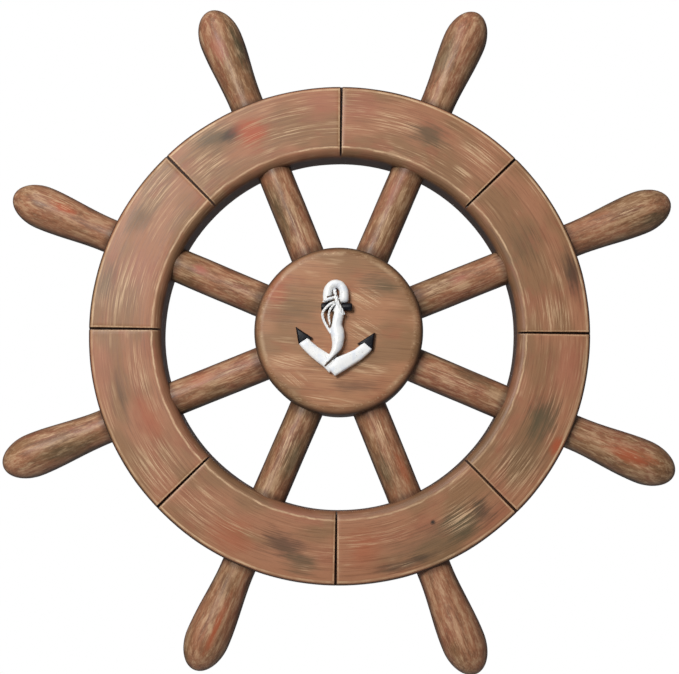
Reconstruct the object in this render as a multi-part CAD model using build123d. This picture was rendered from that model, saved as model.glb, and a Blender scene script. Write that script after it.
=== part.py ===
"""A wooden ship's steering wheel with eight turned spokes, on a wall spindle.

The rim is a ring of eight felloes, dowelled end to end, with a saw kerf over each joint on the front.
Each spoke and its handle are one turned piece, pushed in through its felloe to a socket in the hub.
A painted anchor is fixed to the hub's front. A brass flange on the hub's back runs on a steel spindle.

Axes: the wheel turns about Y. Its front looks along -Y, and +Z is up. The origin is the centre of the
wall plate's back face, so the whole object lies at y <= 0. Angles are seen from the front, anticlockwise
from +X. All sizes are in millimetres.
"""

from build123d import *
import math
import os

# ---- wheel ----
TIP_DIAMETER = 457.2  # across opposite handle tips, 18 in
RIM_DIAMETER = 315.0
RIM_WIDTH = 45.5  # radially
RIM_DEPTH = 28.0  # front to back
RIM_OUTER_ROUND = 3.0
RIM_INNER_ROUND = 5.5
SPOKE_COUNT = 8
KERF_WIDTH = 1.6
KERF_DEPTH = 3.2
GLUE_GAP = 0.1  # room for glue round spokes, dowels and the flange's sleeve, and between anchor pieces
END_GAP = 1.0  # left beyond the end of anything pushed into a blind hole

# ---- spokes ----
SPOKE_DIAMETER = 22.0
GRIP_DIAMETER = 27.8  # the handle at its fattest
GRIP_DOME = 21.6  # from the fattest place to the tip
NECK_LENGTH = 4.0  # straight stretch outside the rim
SOCKET_DEPTH = 23.0  # of a spoke's socket in the hub
MITRE_GAP = 1.0  # between neighbouring spokes, whose inner ends are mitred where they would meet
DOWEL_DIAMETER = 8.0
DOWEL_LENGTH = 32.0
DOWEL_SPACING = 22.0  # between the two dowels of one joint
DOWEL_BEVEL = 0.6

# ---- hub ----
HUB_DIAMETER = 106.0
HUB_DEPTH = 36.0
HUB_FRONT_ROUND = 6.0
HUB_BACK_ROUND = 3.0

# ---- spindle and wall plate ----
SPINDLE_DIAMETER = 16.0
RUNNING_GAP = 0.05  # radial, between spindle and flange bore
AXIAL_GAP = 0.3  # between thrust washer and flange boss
PLATE_DIAMETER = 84.0
PLATE_THICKNESS = 5.0
PLATE_EDGE_BEVEL = 1.0
PLATE_BOSS_DIAMETER = 30.0
PLATE_BOSS_HEIGHT = 4.0
PLATE_SOCKET_FLOOR = 2.0  # metal left behind the spindle
WALL_HOLE_CIRCLE = 62.0
WALL_HOLE_COUNT = 4
WALL_HOLE_DIAMETER = 5.5
WALL_HOLE_SINK = 10.5  # countersink's mouth
WASHER_DIAMETER = 28.0
WASHER_THICKNESS = 1.5
WASHER_BORE_GAP = 0.3
NOSE_BEVEL = 1.0

# ---- brass hub flange ----
FLANGE_DIAMETER = 62.0
FLANGE_THICKNESS = 3.0
FLANGE_BOSS_DIAMETER = 32.0
FLANGE_BOSS_HEIGHT = 8.0
FLANGE_EDGE_BEVEL = 0.8
SLEEVE_DIAMETER = 24.0
SLEEVE_LENGTH = 20.0
FLANGE_SCREW_CIRCLE = 46.0
FLANGE_SCREW_COUNT = 4
SCREW_DIAMETER = 3.5
SCREW_HEAD_DIAMETER = 7.0
SCREW_LENGTH = 14.0
SCREW_SLOT_WIDTH = 0.9
SCREW_SLOT_DEPTH = 0.8
SCREW_HOLE_GAP = 0.15

# ---- retaining screw, whose dog point runs in a groove of the spindle ----
GRUB_DIAMETER = 5.0
DOG_DIAMETER = 3.0
DOG_GAP = 0.3  # to the groove's sides and floor
GROOVE_DEPTH = 1.2
GRUB_KEY = 2.5  # hexagon socket across flats
GRUB_KEY_DEPTH = 3.0

# ---- anchor: every height is above the hub's centre ----
ANCHOR_THICKNESS = 5.6  # of the arms and flukes
ANCHOR_TILT = -0.6
ANCHOR_SHIFT = -2.2  # it sits a little left of the hub's centre
CROWN_Z = -29.0  # the lowest point
SHANK_TOP_Z = 20.5
SHANK_TOP_WIDTH = 4.2
SHANK_FOOT_WIDTH = 6.4
ARM_TILT = -3.2  # both arms lean over, as the casting does
ARM_SHIFT = -0.6  # the arms' middle, from the shank's
ARM_END_SPAN = (0.34, 0.86)  # the stretch of its fluke's back that an arm's end meets
ARM_BULGE = 1.0  # of the lower edge
ARM_HOLLOW = 1.7  # of the upper edge
ARM_ROOT_Z = -14.2
FLUKE_TIP = (24.7, 29.1)  # the right fluke's corners, from the crown
FLUKE_INNER_BARB = (14.0, 22.0)
FLUKE_OUTER_BARB = (23.4, 17.6)
STOCK_Z = 14.2
STOCK_LENGTH = 18.8
STOCK_DIAMETER = 4.6
STOCK_END_ROUND = 0.9
STOCK_WALL = 0.4  # of the shank in front of the stock and behind it
SHACKLE_Z = 23.8  # centre of the bow
SHACKLE_WIDTH = 15.8  # over the outside
SHACKLE_WIRE = 5.6
SHACKLE_FOOT_GAP = 0.2  # to the stock below it
ROPE_DIAMETER = 2.8
ROPE_BEND = 0.45  # share of the shorter run that an arc may use
ROPE_LEAD = [
    (-0.4, 23.0),
    (1.4, 16.4),
    (4.2, 11.2),
    (3.2, 3.8),
    (5.2, -2.4),
    (4.2, -8.6),
    (0.2, -14.0),
    (-5.0, -19.6),
]
ROPE_LOOP = [
    (-2.6, 17.4),
    (-3.6, 12.6),
    (-6.2, 7.6),
    (-5.0, 2.4),
    (-1.6, -3.6),
]

# ---- places along Y, from the wall forwards ----
PLATE_FRONT = -PLATE_THICKNESS
PLATE_BOSS_FRONT = PLATE_FRONT - PLATE_BOSS_HEIGHT
WASHER_FRONT = PLATE_BOSS_FRONT - WASHER_THICKNESS
FLANGE_BOSS_BACK = WASHER_FRONT - AXIAL_GAP
FLANGE_BACK = FLANGE_BOSS_BACK - FLANGE_BOSS_HEIGHT
HUB_BACK = FLANGE_BACK - FLANGE_THICKNESS
HUB_FRONT = HUB_BACK - HUB_DEPTH
WHEEL_MIDDLE = HUB_BACK - HUB_DEPTH / 2
SLEEVE_END = HUB_BACK - SLEEVE_LENGTH
SPINDLE_NOSE = SLEEVE_END + END_GAP
GRUB_MIDDLE = FLANGE_BOSS_BACK - FLANGE_BOSS_HEIGHT / 2

# ---- radii ----
TIP_RADIUS = TIP_DIAMETER / 2
RIM_OUTER = RIM_DIAMETER / 2
RIM_INNER = RIM_OUTER - RIM_WIDTH
RIM_MIDDLE = RIM_OUTER - RIM_WIDTH / 2
HUB_RADIUS = HUB_DIAMETER / 2
SPOKE_RADIUS = SPOKE_DIAMETER / 2
SPINDLE_RADIUS = SPINDLE_DIAMETER / 2
SOCKET_BOTTOM = HUB_RADIUS - SOCKET_DEPTH
GROOVE_RADIUS = SPINDLE_RADIUS - GROOVE_DEPTH

# ---- the anchor's depths ----
SHANK_DEPTH = STOCK_DIAMETER + 2 * (GLUE_GAP + STOCK_WALL)
ROPE_MIDDLE = max(SHANK_DEPTH, ANCHOR_THICKNESS) + ROPE_DIAMETER / 2

PITCH = 360 / SPOKE_COUNT
SPOKE_ANGLES = [PITCH * (k + 0.5) for k in range(SPOKE_COUNT)]
DOWN = 270  # the angle that points at the floor
OVERCUT = 1.0  # how far a cutting tool runs past what it cuts


def along_y(radius, back, front):
    """A cylinder on the wheel's axis, from y = back forwards to y = front."""
    blank = Cylinder(radius, back - front, align=(Align.CENTER, Align.CENTER, Align.MIN))
    return Pos(0, back, 0) * Rot(X=90) * blank


def along_x(radius, start, end, y=0.0):
    """A cylinder along +X, from x = start to x = end, at the depth y."""
    blank = Cylinder(radius, end - start, align=(Align.CENTER, Align.CENTER, Align.MIN))
    return Pos(start, y, 0) * Rot(Y=90) * blank


def turned(shape, angle):
    """The shape turned about the wheel's axis to an angle seen from the front."""
    return Rot(Y=-angle) * shape


def on_circle(shape, diameter, count, first_angle=0.0):
    """Copies of a shape made at the origin, spread evenly round a circle about the wheel's axis."""
    return [turned(Pos(diameter / 2, 0, 0) * shape, first_angle + 360 * k / count) for k in range(count)]


def drill_dowel_holes(end_angle):
    """The two holes in one felloe end. The felloe is centred on +X, and the end is at +-PITCH / 2."""
    inward = -math.copysign(1, end_angle)
    reach = DOWEL_LENGTH / 2 + END_GAP
    drill = Cylinder(DOWEL_DIAMETER / 2 + GLUE_GAP, reach + OVERCUT)
    holes = [
        Pos(RIM_MIDDLE + side * DOWEL_SPACING / 2, WHEEL_MIDDLE, inward * (reach - OVERCUT) / 2) * drill
        for side in (-1, 1)
    ]
    return [turned(hole, end_angle) for hole in holes]


def make_felloe():
    """One felloe, centred on +X: an arc of the rim with its spoke hole, dowel holes and half kerfs."""
    front = WHEEL_MIDDLE - RIM_DEPTH / 2
    section = Pos(RIM_MIDDLE, WHEEL_MIDDLE) * Rectangle(RIM_WIDTH, RIM_DEPTH)
    section = fillet(section.vertices().group_by(Axis.X)[-1], RIM_OUTER_ROUND)
    section = fillet(section.vertices().group_by(Axis.X)[0], RIM_INNER_ROUND)
    body = Rot(Y=PITCH / 2) * revolve(section, Axis.Y, revolution_arc=-PITCH)
    body -= along_x(SPOKE_RADIUS + GLUE_GAP, RIM_INNER - OVERCUT, RIM_OUTER + OVERCUT, WHEEL_MIDDLE)
    for end_angle in (-PITCH / 2, PITCH / 2):
        for hole in drill_dowel_holes(end_angle):
            body -= hole
        saw = Box(RIM_WIDTH + 2 * OVERCUT, KERF_DEPTH + OVERCUT, KERF_WIDTH)
        place = Pos(RIM_MIDDLE, front + (KERF_DEPTH - OVERCUT) / 2, 0)
        body -= turned(place * saw, end_angle)
    return body


def make_dowels():
    """The two dowels of every felloe joint."""
    pin = Cylinder(DOWEL_DIAMETER / 2, DOWEL_LENGTH)
    pin = chamfer(pin.edges().filter_by(GeomType.CIRCLE), DOWEL_BEVEL)
    dowels = []
    for side in (-1, 1):
        placed = Pos(0, WHEEL_MIDDLE, 0) * pin
        dowels += on_circle(placed, 2 * RIM_MIDDLE + side * DOWEL_SPACING, SPOKE_COUNT)
    return Compound(children=dowels)


def make_spoke():
    """A spoke with its handle, one turned piece lying along +X, with its inner end in the hub."""
    inner_end = SOCKET_BOTTOM + END_GAP
    neck_end = RIM_OUTER + NECK_LENGTH
    peak = TIP_RADIUS - GRIP_DOME
    grip_radius = GRIP_DIAMETER / 2
    reach = (peak - neck_end) / 2
    swell = Bezier(
        (neck_end, SPOKE_RADIUS),
        (neck_end + reach, SPOKE_RADIUS),
        (peak - reach, grip_radius),
        (peak, grip_radius),
    )
    dome = EllipticalCenterArc((peak, 0), GRIP_DOME, grip_radius, start_angle=0, arc_size=90)
    straight = Polyline((TIP_RADIUS, 0), (inner_end, 0), (inner_end, SPOKE_RADIUS), (neck_end, SPOKE_RADIUS))
    profile = make_face(Curve() + [straight, swell, dome])
    return Pos(0, WHEEL_MIDDLE, 0) * (revolve(profile, Axis.X) & spoke_share())


def spoke_share():
    """The wedge about +X that holds one spoke, clear of its neighbours' wedges."""
    half = math.radians(PITCH / 2)
    point = MITRE_GAP / 2 / math.sin(half)
    far = TIP_RADIUS + OVERCUT
    spread = (far - point) * math.tan(half)
    wedge = make_face(Polyline((point, 0), (far, spread), (far, -spread), close=True))
    return extrude(Plane.XZ * wedge, GRIP_DIAMETER, both=True)


def make_hub():
    """The hub disc with its spoke sockets, the bore for the flange's sleeve and the screw pilot holes."""
    body = along_y(HUB_RADIUS, HUB_BACK, HUB_FRONT)
    body = fillet(body.edges().group_by(Axis.Y)[0], HUB_FRONT_ROUND)
    body = fillet(body.edges().filter_by(GeomType.CIRCLE).group_by(Axis.Y)[-1], HUB_BACK_ROUND)
    socket = along_x(SPOKE_RADIUS + GLUE_GAP, SOCKET_BOTTOM, HUB_RADIUS + OVERCUT, WHEEL_MIDDLE)
    for angle in SPOKE_ANGLES:
        body -= turned(socket, angle)
    body -= along_y(SLEEVE_DIAMETER / 2 + GLUE_GAP, HUB_BACK + OVERCUT, SLEEVE_END - END_GAP)
    pilot = along_y(SCREW_DIAMETER / 2, HUB_BACK + OVERCUT, FLANGE_BACK - SCREW_LENGTH - END_GAP)
    for hole in on_circle(pilot, FLANGE_SCREW_CIRCLE, FLANGE_SCREW_COUNT):
        body -= hole
    return body


def countersink(hole_diameter, mouth_diameter, mouth_y, towards_wall):
    """A 90-degree cone on the wheel's axis, widest at mouth_y, that narrows towards +Y or -Y."""
    depth = (mouth_diameter - hole_diameter) / 2
    cone = Cone(mouth_diameter / 2, hole_diameter / 2, depth, align=(Align.CENTER, Align.CENTER, Align.MIN))
    return Pos(0, mouth_y, 0) * Rot(X=-90 if towards_wall else 90) * cone


def make_hub_flange():
    """The brass flange: a plate on the hub's back, a sleeve into the hub and a boss towards the wall."""
    body = along_y(FLANGE_DIAMETER / 2, FLANGE_BACK, HUB_BACK)
    body = chamfer(body.edges().filter_by(GeomType.CIRCLE).group_by(Axis.Y)[-1], FLANGE_EDGE_BEVEL)
    body += along_y(FLANGE_BOSS_DIAMETER / 2, FLANGE_BOSS_BACK, FLANGE_BACK)
    body += along_y(SLEEVE_DIAMETER / 2, HUB_BACK, SLEEVE_END)
    body -= along_y(SPINDLE_RADIUS + RUNNING_GAP, FLANGE_BOSS_BACK + OVERCUT, SLEEVE_END - OVERCUT)
    hole_diameter = SCREW_DIAMETER + 2 * SCREW_HOLE_GAP
    hole = along_y(hole_diameter / 2, FLANGE_BACK + OVERCUT, HUB_BACK - OVERCUT)
    hole += countersink(hole_diameter, SCREW_HEAD_DIAMETER + 2 * SCREW_HOLE_GAP, FLANGE_BACK, False)
    for placed in on_circle(hole, FLANGE_SCREW_CIRCLE, FLANGE_SCREW_COUNT):
        body -= placed
    tapped = along_x(GRUB_DIAMETER / 2, SPINDLE_RADIUS - OVERCUT, FLANGE_BOSS_DIAMETER / 2 + OVERCUT, GRUB_MIDDLE)
    return body - turned(tapped, DOWN)


def make_flange_screws():
    """Countersunk wood screws that hold the flange to the hub."""
    shank = along_y(SCREW_DIAMETER / 2, FLANGE_BACK, FLANGE_BACK - SCREW_LENGTH)
    head = countersink(SCREW_DIAMETER, SCREW_HEAD_DIAMETER, FLANGE_BACK, False)
    slot = Pos(0, FLANGE_BACK, 0) * Box(SCREW_HEAD_DIAMETER, 2 * SCREW_SLOT_DEPTH, SCREW_SLOT_WIDTH)
    screw = shank + head - slot
    return Compound(children=on_circle(screw, FLANGE_SCREW_CIRCLE, FLANGE_SCREW_COUNT))


def make_retaining_screw():
    """The grub screw in the flange's boss. Its dog point runs in the spindle's groove."""
    tip = GROOVE_RADIUS + DOG_GAP
    outer = FLANGE_BOSS_DIAMETER / 2
    thread_start = SPINDLE_RADIUS + DOG_GAP + RUNNING_GAP
    body = along_x(DOG_DIAMETER / 2, tip, thread_start, GRUB_MIDDLE)
    body += along_x(GRUB_DIAMETER / 2, thread_start, outer, GRUB_MIDDLE)
    key = Plane(origin=(outer, GRUB_MIDDLE, 0), z_dir=(-1, 0, 0)) * RegularPolygon(
        GRUB_KEY / 2, 6, major_radius=False
    )
    body -= extrude(key, GRUB_KEY_DEPTH)
    return turned(body, DOWN)


def make_spindle():
    """The steel pin that the wheel turns on, with the retaining screw's groove."""
    body = along_y(SPINDLE_RADIUS, -PLATE_SOCKET_FLOOR, SPINDLE_NOSE)
    body = chamfer(body.edges().group_by(Axis.Y)[0], NOSE_BEVEL)
    half_width = DOG_DIAMETER / 2 + DOG_GAP
    groove = along_y(SPINDLE_RADIUS + OVERCUT, GRUB_MIDDLE + half_width, GRUB_MIDDLE - half_width)
    groove -= along_y(GROOVE_RADIUS, GRUB_MIDDLE + half_width, GRUB_MIDDLE - half_width)
    return body - groove


def make_wall_plate():
    """The round plate that is screwed to the wall, with a boss that holds the spindle."""
    body = along_y(PLATE_DIAMETER / 2, 0, PLATE_FRONT)
    body = chamfer(body.edges().filter_by(GeomType.CIRCLE).group_by(Axis.Y)[0], PLATE_EDGE_BEVEL)
    body += along_y(PLATE_BOSS_DIAMETER / 2, PLATE_FRONT, PLATE_BOSS_FRONT)
    body -= along_y(SPINDLE_RADIUS, -PLATE_SOCKET_FLOOR, PLATE_BOSS_FRONT - OVERCUT)
    hole = along_y(WALL_HOLE_DIAMETER / 2, OVERCUT, PLATE_FRONT - OVERCUT)
    hole += countersink(WALL_HOLE_DIAMETER, WALL_HOLE_SINK, PLATE_FRONT, True)
    for placed in on_circle(hole, WALL_HOLE_CIRCLE, WALL_HOLE_COUNT, PITCH):
        body -= placed
    return body


def make_thrust_washer():
    """The washer between the plate's boss and the turning flange."""
    ring = along_y(WASHER_DIAMETER / 2, PLATE_BOSS_FRONT, WASHER_FRONT)
    return ring - along_y(SPINDLE_RADIUS + WASHER_BORE_GAP, PLATE_BOSS_FRONT + OVERCUT, WASHER_FRONT - OVERCUT)


def on_hub_face(shape):
    """A shape modelled upright about the hub's centre, tilted and shifted as the anchor sits."""
    return Pos(ANCHOR_SHIFT, 0, 0) * turned(shape, ANCHOR_TILT)


def face_plane(height=0.0):
    """The hub's front face, or a plane that far in front of it. Its x is +X, its y is +Z, and it looks forwards."""
    return Plane.XZ.offset(-HUB_FRONT + height)


def raised(outline, height):
    """A flat outline raised from the hub's front face."""
    return extrude(face_plane() * outline, height)


def from_crown(points):
    """Points given from the crown, as points on the hub's face."""
    return [(across, CROWN_Z + up) for across, up in points]


def both_arms(outline):
    """The right arm's outline and its mirror image, both leaning over about the crown."""
    lean = Pos(ARM_SHIFT, CROWN_Z) * Rot(Z=ARM_TILT) * Pos(0, -CROWN_Z)
    return [lean * outline, lean * mirror(outline, Plane.YZ)]


def arm_outline():
    """The right arm: bulging below, hollow above, with its end against the fluke's back."""
    back = Line(*from_crown([FLUKE_INNER_BARB, FLUKE_OUTER_BARB]))
    glue = (back % 0).rotate(Axis.Z, -90) * GLUE_GAP
    high_end, low_end = [back @ share + glue for share in ARM_END_SPAN]
    crown = (0, CROWN_Z)
    root = (0, ARM_ROOT_Z)
    lower = SagittaArc(crown, low_end, ARM_BULGE)
    upper = SagittaArc(high_end, root, ARM_HOLLOW)
    return make_face(Curve() + [lower, Line(low_end, high_end), upper, Line(root, crown)])


def make_anchor_body():
    """The white casting: the shank and both arms, with a hole that the stock passes through."""
    foot = ARM_ROOT_Z + (CROWN_Z - ARM_ROOT_Z) / 3
    shank = make_face(Polyline(
        (-SHANK_TOP_WIDTH / 2, SHANK_TOP_Z),
        (SHANK_TOP_WIDTH / 2, SHANK_TOP_Z),
        (SHANK_FOOT_WIDTH / 2, foot),
        (-SHANK_FOOT_WIDTH / 2, foot),
        close=True,
    ))
    body = raised(shank, SHANK_DEPTH)
    for arm in both_arms(arm_outline()):
        body += raised(arm, ANCHOR_THICKNESS)
    return on_hub_face(body - stock_blank(GLUE_GAP))


def make_anchor_flukes():
    """The two navy flukes: a three-cornered palm on the end of each arm."""
    palm = make_face(Polyline(*from_crown([FLUKE_TIP, FLUKE_INNER_BARB, FLUKE_OUTER_BARB]), close=True))
    return on_hub_face(Compound(children=[raised(outline, ANCHOR_THICKNESS) for outline in both_arms(palm)]))


def stock_blank(room=0.0):
    """The stock's cylinder, half way through the shank's depth, with room all round."""
    bar = Cylinder(STOCK_DIAMETER / 2 + room, STOCK_LENGTH + 2 * room)
    bar = fillet(bar.edges().filter_by(GeomType.CIRCLE), STOCK_END_ROUND)
    return Pos(0, HUB_FRONT - SHANK_DEPTH / 2, STOCK_Z) * Rot(Y=90) * bar


def make_anchor_stock():
    """The navy cross bar."""
    return on_hub_face(stock_blank())


def along_path(path, diameter):
    """A round bar along a path."""
    start = Plane(origin=path @ 0, z_dir=path % 0)
    return sweep(start * Circle(diameter / 2), path=path)


def make_anchor_shackle():
    """The white bow over the shank's head, with a leg on each side down to the stock."""
    half = (SHACKLE_WIDTH - SHACKLE_WIRE) / 2
    foot = STOCK_Z + STOCK_DIAMETER / 2 + SHACKLE_FOOT_GAP
    left = Line((-half, foot), (-half, SHACKLE_Z))
    bow = ThreePointArc((-half, SHACKLE_Z), (0, SHACKLE_Z + half), (half, SHACKLE_Z))
    right = Line((half, SHACKLE_Z), (half, foot))
    path = face_plane(SHACKLE_WIRE / 2) * (Curve() + [left, bow, right])
    return on_hub_face(along_path(path, SHACKLE_WIRE))


def rope_strand(points):
    """A round strand along the points, just in front of the casting, with arcs as large as its runs allow."""
    radii = []
    for before, here, after in zip(points, points[1:], points[2:]):
        run_in = Vector(*here) - Vector(*before)
        run_out = Vector(*after) - Vector(*here)
        turn = math.radians(run_in.get_angle(run_out))
        radii.append(ROPE_BEND * min(run_in.length, run_out.length) / math.tan(turn / 2))
    path = face_plane(ROPE_MIDDLE) * FilletPolyline(*points, radius=radii)
    return along_path(path, ROPE_DIAMETER)


def make_anchor_rope():
    """The rope in relief: its lead down the shank and the loop at its left."""
    return on_hub_face(Compound(children=[rope_strand(ROPE_LEAD), rope_strand(ROPE_LOOP)]))


def main():
    """Builds every node and writes one STEP file for each."""
    parts = {
        "felloe_dowels": make_dowels(),
        "hub": make_hub(),
        "hub_flange": make_hub_flange(),
        "flange_screws": make_flange_screws(),
        "retaining_screw": make_retaining_screw(),
        "spindle": make_spindle(),
        "thrust_washer": make_thrust_washer(),
        "wall_plate": make_wall_plate(),
        "anchor_body": make_anchor_body(),
        "anchor_flukes": make_anchor_flukes(),
        "anchor_stock": make_anchor_stock(),
        "anchor_shackle": make_anchor_shackle(),
        "anchor_rope": make_anchor_rope(),
    }
    felloe = make_felloe()
    spoke = make_spoke()
    for number, angle in enumerate(SPOKE_ANGLES, 1):
        parts[f"felloe_{number}"] = turned(felloe, angle)
        parts[f"spoke_{number}"] = turned(spoke, angle)
    os.makedirs("parts", exist_ok=True)
    for name, shape in parts.items():
        export_step(shape, f"parts/{name}.step")


main()
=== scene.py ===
"""The looks of a wooden ship's steering wheel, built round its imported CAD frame.

The rim, spokes, hub and anchor are modelled again with their worn edges and cast relief. The metal
pieces behind the hub keep their CAD shape and get their finish. The wheel turns about Y, its front
looks along -Y and +Z is up. Sizes are in metres.
"""

import logging
import math
from dataclasses import dataclass, field
from enum import Enum
from typing import Callable, Iterable, Sequence

import bmesh
import bpy
from mathutils import Matrix, Vector


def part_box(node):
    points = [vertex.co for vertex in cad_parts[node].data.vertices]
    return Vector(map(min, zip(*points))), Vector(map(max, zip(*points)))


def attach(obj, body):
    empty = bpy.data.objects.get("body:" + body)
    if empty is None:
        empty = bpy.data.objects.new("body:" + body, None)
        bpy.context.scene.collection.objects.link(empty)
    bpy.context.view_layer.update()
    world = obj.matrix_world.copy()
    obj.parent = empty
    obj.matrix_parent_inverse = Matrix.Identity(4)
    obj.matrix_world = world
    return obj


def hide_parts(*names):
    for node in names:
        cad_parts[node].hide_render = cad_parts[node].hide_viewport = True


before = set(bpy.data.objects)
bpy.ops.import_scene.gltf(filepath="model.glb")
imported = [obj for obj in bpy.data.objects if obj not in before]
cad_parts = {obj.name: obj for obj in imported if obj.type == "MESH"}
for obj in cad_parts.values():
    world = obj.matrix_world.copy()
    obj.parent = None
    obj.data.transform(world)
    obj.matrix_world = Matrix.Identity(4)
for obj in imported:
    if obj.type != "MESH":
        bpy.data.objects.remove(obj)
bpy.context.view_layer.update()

log = logging.getLogger("ship_wheel")

MM = 0.001
WHEEL_BODY = "wheel"
SPOKE_COUNT = 8
PITCH = 360 / SPOKE_COUNT
SPOKE_ANGLES = [PITCH * (k + 0.5) for k in range(SPOKE_COUNT)]

RIM_OUTER = 157.5 * MM
RIM_WIDTH = 45.5 * MM
RIM_MIDDLE = RIM_OUTER - RIM_WIDTH / 2

Colour = tuple[float, float, float]
Point = tuple[float, float]


def srgb(red: int, green: int, blue: int) -> Colour:
    """Turns a colour given as it looks, 0 to 255 a channel, into scene-linear numbers.

    Args:
        red: The red channel.
        green: The green channel.
        blue: The blue channel.

    Returns:
        The linear colour.
    """
    channels = (red / 255, green / 255, blue / 255)
    return tuple(c / 12.92 if c <= 0.04045 else ((c + 0.055) / 1.055) ** 2.4 for c in channels)


# ---------------------------------------------------------------- workbench


class Pick(Enum):
    """What a selection in edit mode is made of."""

    VERTS = "VERT"
    EDGES = "EDGE"
    FACES = "FACE"


class Bench:
    """The bench that one piece is modelled on: selection, edit mode, modifiers and the final fixing."""

    def __init__(self, name: str) -> None:
        """Clears the selection for a new piece.

        Args:
            name: What the finished piece will be called.
        """
        self.name = name
        self.piece: bpy.types.Object | None = None
        Bench.clear()

    @classmethod
    def reopen(cls, piece: bpy.types.Object) -> "Bench":
        """Puts a piece that is already made back on a bench."""
        bench = cls(piece.name)
        bench.piece = piece
        return bench

    @staticmethod
    def clear() -> None:
        """Leaves edit mode and deselects everything."""
        if bpy.context.mode != "OBJECT":
            bpy.ops.object.mode_set(mode="OBJECT")
        bpy.ops.object.select_all(action="DESELECT")

    def take(self) -> bpy.types.Object:
        """Takes the primitive that was just added, and opens it in edit mode with all selected."""
        self.piece = bpy.context.object
        self.piece.name = self.name
        self.piece.data.name = self.name
        bpy.ops.object.transform_apply(location=True, rotation=True, scale=True)
        bpy.ops.object.mode_set(mode="EDIT")
        bpy.ops.mesh.select_all(action="SELECT")
        return self.piece

    def pick(self, kind: Pick, test: Callable[..., bool]) -> None:
        """Selects the verts, edges or faces that pass a test, and nothing else.

        Args:
            kind: Which of the three is selected.
            test: Takes a bmesh vert, edge or face.
        """
        bpy.ops.mesh.select_mode(type=kind.value)
        bpy.ops.mesh.select_all(action="DESELECT")
        mesh = bmesh.from_edit_mesh(self.piece.data)
        items = {Pick.VERTS: mesh.verts, Pick.EDGES: mesh.edges, Pick.FACES: mesh.faces}[kind]
        for item in items:
            if test(item):
                item.select_set(True)
        mesh.select_flush_mode()
        bmesh.update_edit_mesh(self.piece.data)

    def turn(self, degrees: float, centre: Sequence[float] = (0, 0, 0)) -> None:
        """Turns the selection about Y, anticlockwise as seen from the front.

        Args:
            degrees: How far.
            centre: The point it turns about.
        """
        bpy.ops.transform.rotate(value=math.radians(degrees), orient_axis="Y", center_override=centre)

    def extrude(self, shift: Sequence[float]) -> None:
        """Extrudes the selection and moves the new part by the shift."""
        bpy.ops.mesh.extrude_region_move(TRANSFORM_OT_translate={"value": tuple(shift)})

    def resize(self, factors: Sequence[float], centre: Sequence[float]) -> None:
        """Scales the selection about a point."""
        bpy.ops.transform.resize(value=tuple(factors), center_override=tuple(centre))

    def modify(self, kind: str, **settings: object) -> None:
        """Adds a modifier, sets it and applies it.

        Args:
            kind: The modifier's type.
            settings: Its settings by name.
        """
        if bpy.context.mode != "OBJECT":
            bpy.ops.object.mode_set(mode="OBJECT")
        modifier = self.piece.modifiers.new(kind.title(), kind)
        for key, value in settings.items():
            setattr(modifier, key, value)
        bpy.context.view_layer.objects.active = self.piece
        bpy.ops.object.modifier_apply(modifier=modifier.name)

    def soften(self, width: float, segments: int = 2, limit: float = 40) -> None:
        """Rounds every edge that is sharper than a limit.

        Args:
            width: The rounding's width.
            segments: How many faces across it.
            limit: The sharpness, in degrees, that it starts from.
        """
        self.modify(
            "BEVEL", width=width, segments=segments, limit_method="ANGLE", angle_limit=math.radians(limit)
        )

    def waver(self, amount: float, grain: float) -> None:
        """Makes the surface a little uneven, as hand work is, by the place it has in the wheel.

        Args:
            amount: The greatest move, in and out.
            grain: The size of one unevenness.
        """
        cloud = bpy.data.textures.new(self.name, "CLOUDS")
        cloud.noise_scale = grain
        cloud.noise_depth = 1
        self.modify("DISPLACE", texture=cloud, texture_coords="LOCAL", strength=2 * amount, mid_level=0.5)
        bpy.data.textures.remove(cloud)

    def finish(self, smooth: float = 35) -> bpy.types.Object:
        """Closes the mesh's doubles, turns its faces outwards and shades it.

        Args:
            smooth: Edges flatter than this many degrees are shaded smooth.

        Returns:
            The finished piece, at the origin, unturned and unscaled.
        """
        if bpy.context.mode != "EDIT":
            bpy.context.view_layer.objects.active = self.piece
            bpy.ops.object.mode_set(mode="EDIT")
        bpy.ops.mesh.select_all(action="SELECT")
        bpy.ops.mesh.remove_doubles(threshold=0.01 * MM)
        bpy.ops.mesh.normals_make_consistent(inside=False)
        bpy.ops.object.mode_set(mode="OBJECT")
        bpy.ops.object.select_all(action="DESELECT")
        self.piece.select_set(True)
        bpy.context.view_layer.objects.active = self.piece
        bpy.ops.object.transform_apply(location=True, rotation=True, scale=True)
        bpy.ops.object.shade_smooth_by_angle(angle=math.radians(smooth))
        return self.piece


def copy_turned(piece: bpy.types.Object, name: str, degrees: float) -> bpy.types.Object:
    """Copies a piece with a mesh of its own, turned about the wheel's axis.

    Args:
        piece: The piece to copy.
        name: The copy's name.
        degrees: How far it turns, anticlockwise as seen from the front.

    Returns:
        The copy, with its turn in its mesh.
    """
    twin = piece.copy()
    twin.data = piece.data.copy()
    twin.name = twin.data.name = name
    bpy.context.collection.objects.link(twin)
    twin.data.transform(Matrix.Rotation(-math.radians(degrees), 4, "Y"))
    return twin


def set_down(piece: bpy.types.Object, body: str, slot: str, *nodes: str) -> None:
    """Gives a finished piece its body, and hides the CAD nodes it stands for."""
    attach(piece, body)
    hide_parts(*nodes)
    log.info("%s: %d faces", piece.name, len(piece.data.polygons))


# ---------------------------------------------------------------- shader maths


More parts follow.
